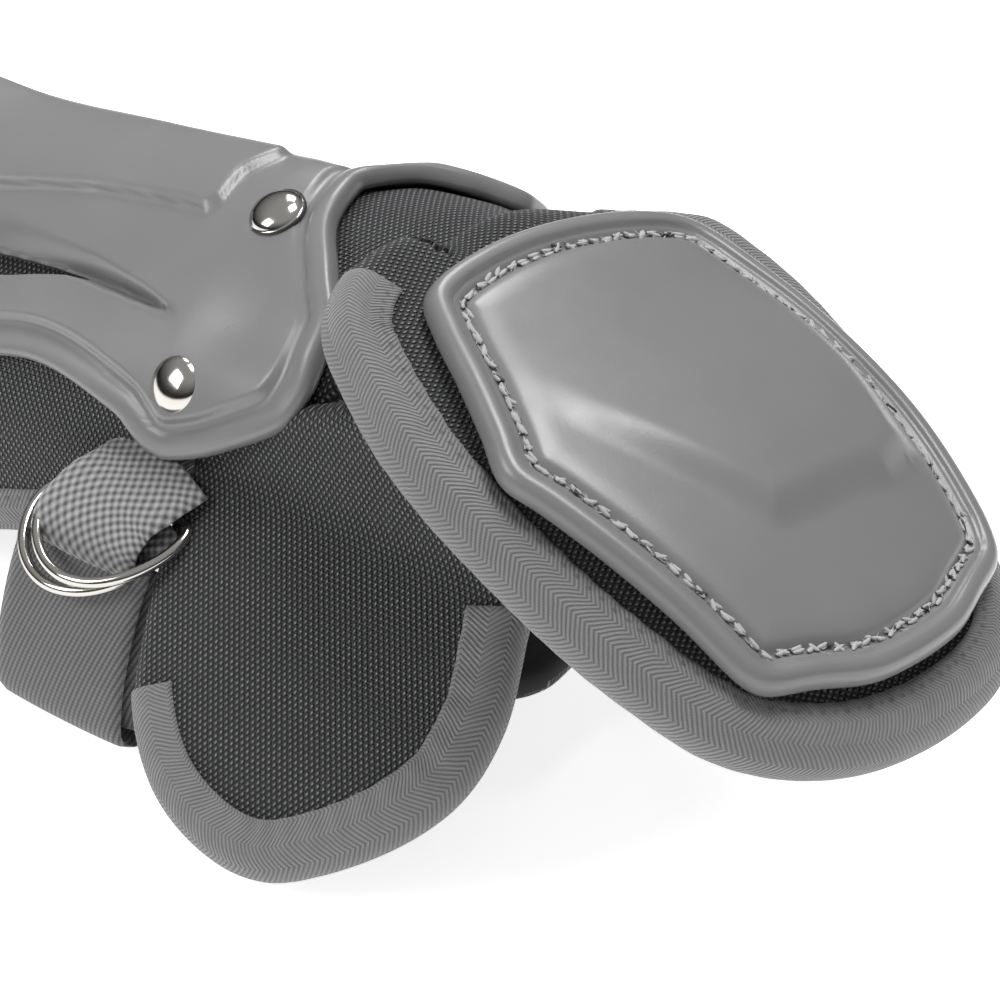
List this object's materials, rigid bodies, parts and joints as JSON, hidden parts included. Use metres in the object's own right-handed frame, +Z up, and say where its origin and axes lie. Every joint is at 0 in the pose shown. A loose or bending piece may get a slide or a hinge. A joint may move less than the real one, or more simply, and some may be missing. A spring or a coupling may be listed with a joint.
{
  "type": "catcher leg guard",
  "caption": "Catcher leg guard lying on its back: long shin shell over a mesh liner, knee cup, thigh plate, foot plate on a padded flap, ankle wings, straps and wire rings.",
  "frame": {"origin": "middle of the bounding box, on the floor that the straps lie on", "axes": "+X along the leg toward the foot, +Z up through the plastic side, Y across the leg"},
  "size_m": [0.718, 0.1874, 0.1377],
  "materials": {
    "moulded_plastic": "satin",
    "mesh_padding": "coarse air mesh over foam",
    "binding_tape": "twill tape",
    "strap_webbing": "ribbed elastic and woven webbing",
    "steel": "polished"
  },
  "bodies": {
    "root": {"shin_shell": "moulded_plastic", "knee_cup": "moulded_plastic", "thigh_plate": "moulded_plastic", "foot_plate": "moulded_plastic", "shin_liner": "mesh_padding", "knee_pad": "mesh_padding", "thigh_pad": "mesh_padding", "flap_pad": "mesh_padding", "ankle_wing_near": "mesh_padding", "ankle_wing_far": "mesh_padding", "flap_binding": "binding_tape", "ankle_wing_near_binding": "binding_tape", "ankle_wing_far_binding": "binding_tape", "ankle_strap": "strap_webbing", "ankle_webbing": "strap_webbing", "calf_strap": "strap_webbing", "shin_top_strap": "strap_webbing", "knee_strap": "strap_webbing", "thigh_strap": "strap_webbing", "rivet_front_near": "steel", "rivet_front_far": "steel", "rivet_corner_near": "steel", "rivet_corner_far": "steel", "rivet_top_near": "steel", "rivet_top_far": "steel", "rivet_cup_near": "steel", "rivet_cup_far": "steel", "rivet_thigh_near": "steel", "rivet_thigh_far": "steel", "ankle_ring_lower": "steel", "ankle_ring_upper": "steel"}
  },
  "joints": []
}
